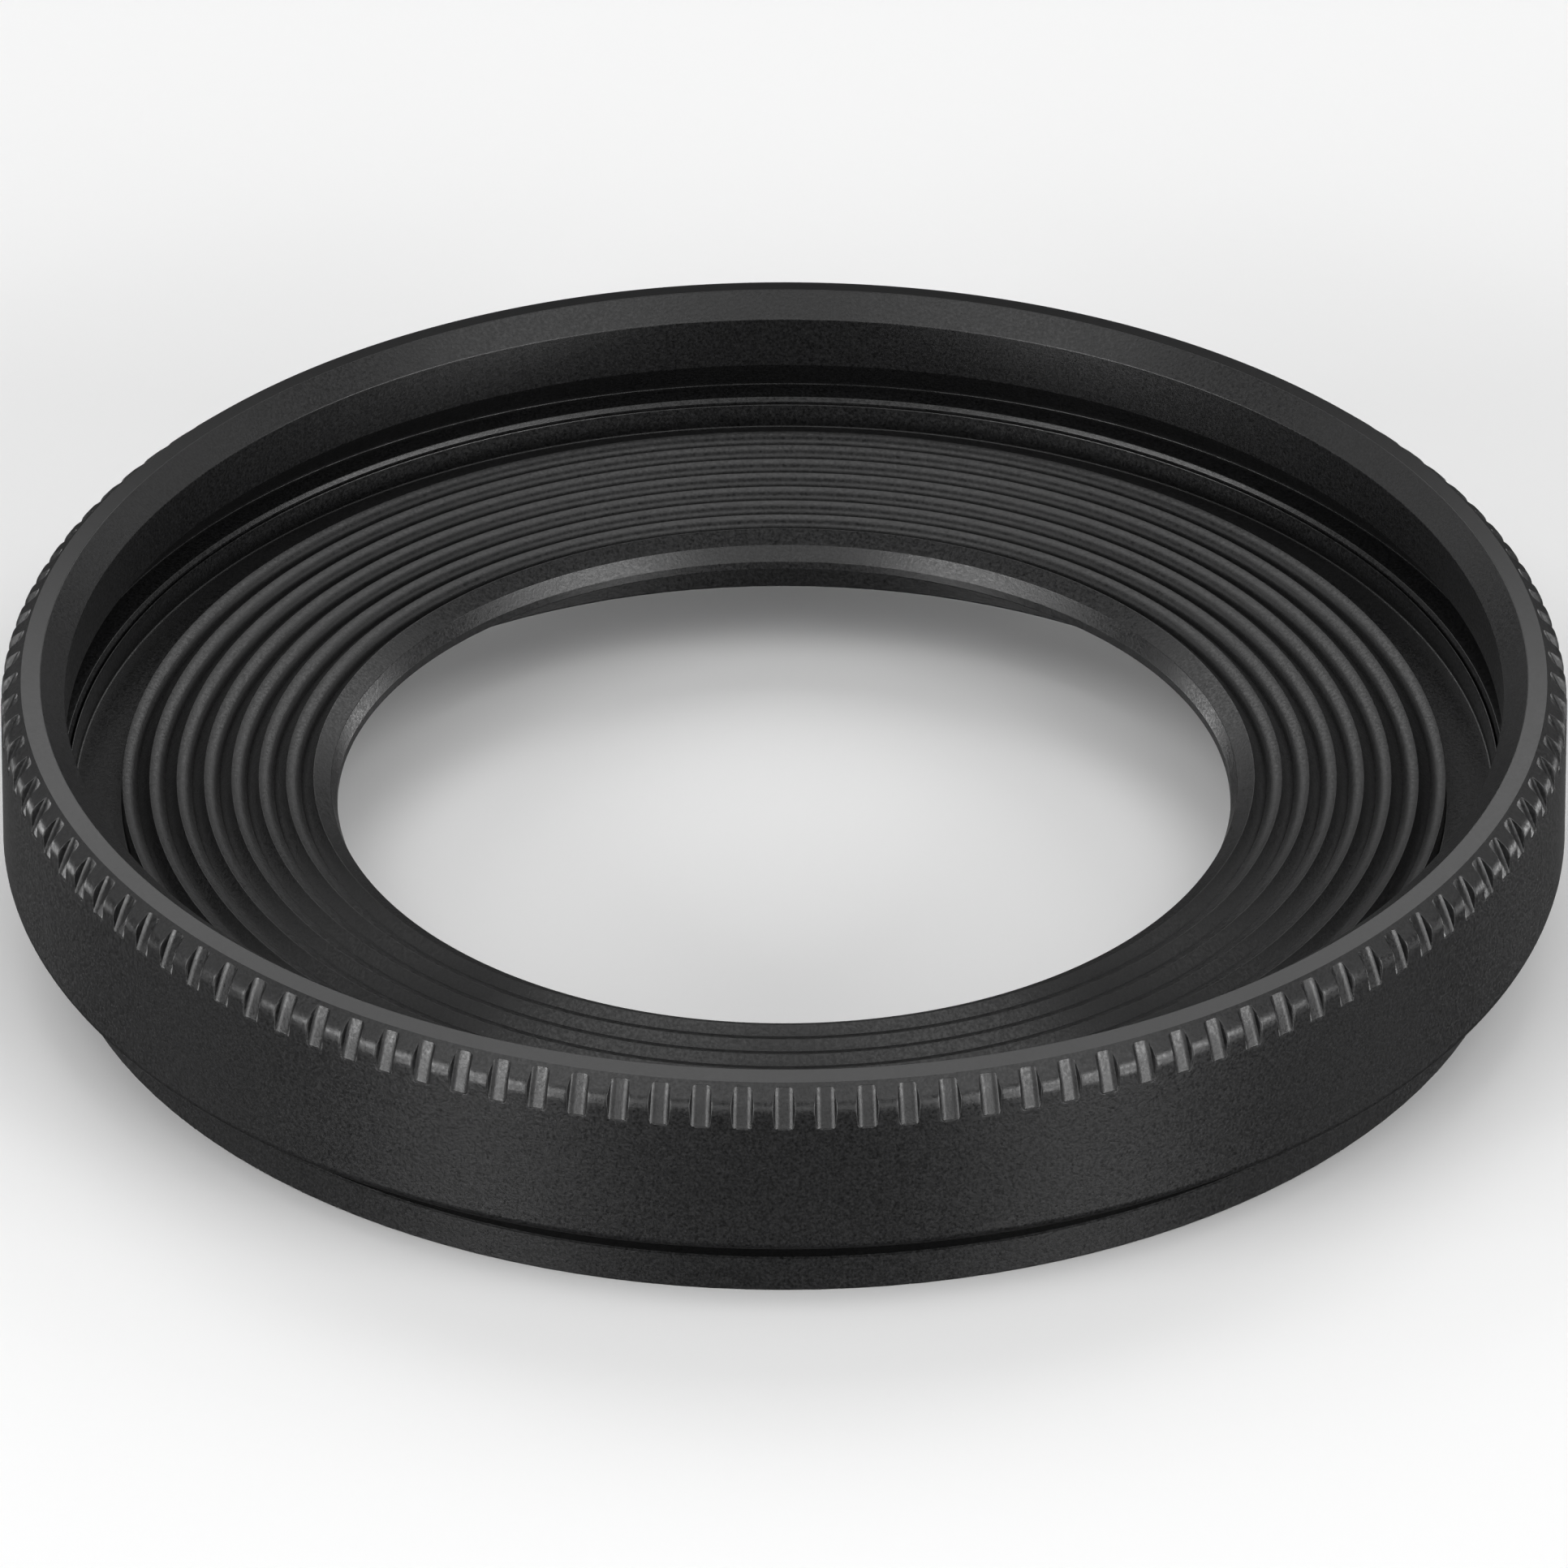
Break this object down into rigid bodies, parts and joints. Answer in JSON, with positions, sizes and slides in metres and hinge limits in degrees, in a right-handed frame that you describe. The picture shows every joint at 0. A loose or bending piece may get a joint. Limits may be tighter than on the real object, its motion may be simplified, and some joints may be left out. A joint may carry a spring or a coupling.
{
  "type": "lens hood",
  "caption": "Shallow round lens hood with a fluted rim, a ridged light-trap plate around a small opening and a bayonet ring at the rear.",
  "frame": {"origin": "centre of the rear face of the mount ring, on the optical axis", "axes": "+Z along the optical axis towards the front rim, -Y towards a rim flute that the first bayonet notch lines up with, X to the right of it"},
  "size_m": [0.061, 0.061, 0.0104],
  "materials": {
    "ring_black": "fine grained satin black",
    "baffle_black": "fine grained matte black",
    "mount_black": "fine grained matte black",
    "screw_black": "blackened steel"
  },
  "bodies": {
    "root": {"front_ring": "ring_black", "baffle_plate": "baffle_black", "mount_ring": "mount_black", "ring_screws": "screw_black"}
  },
  "joints": []
}
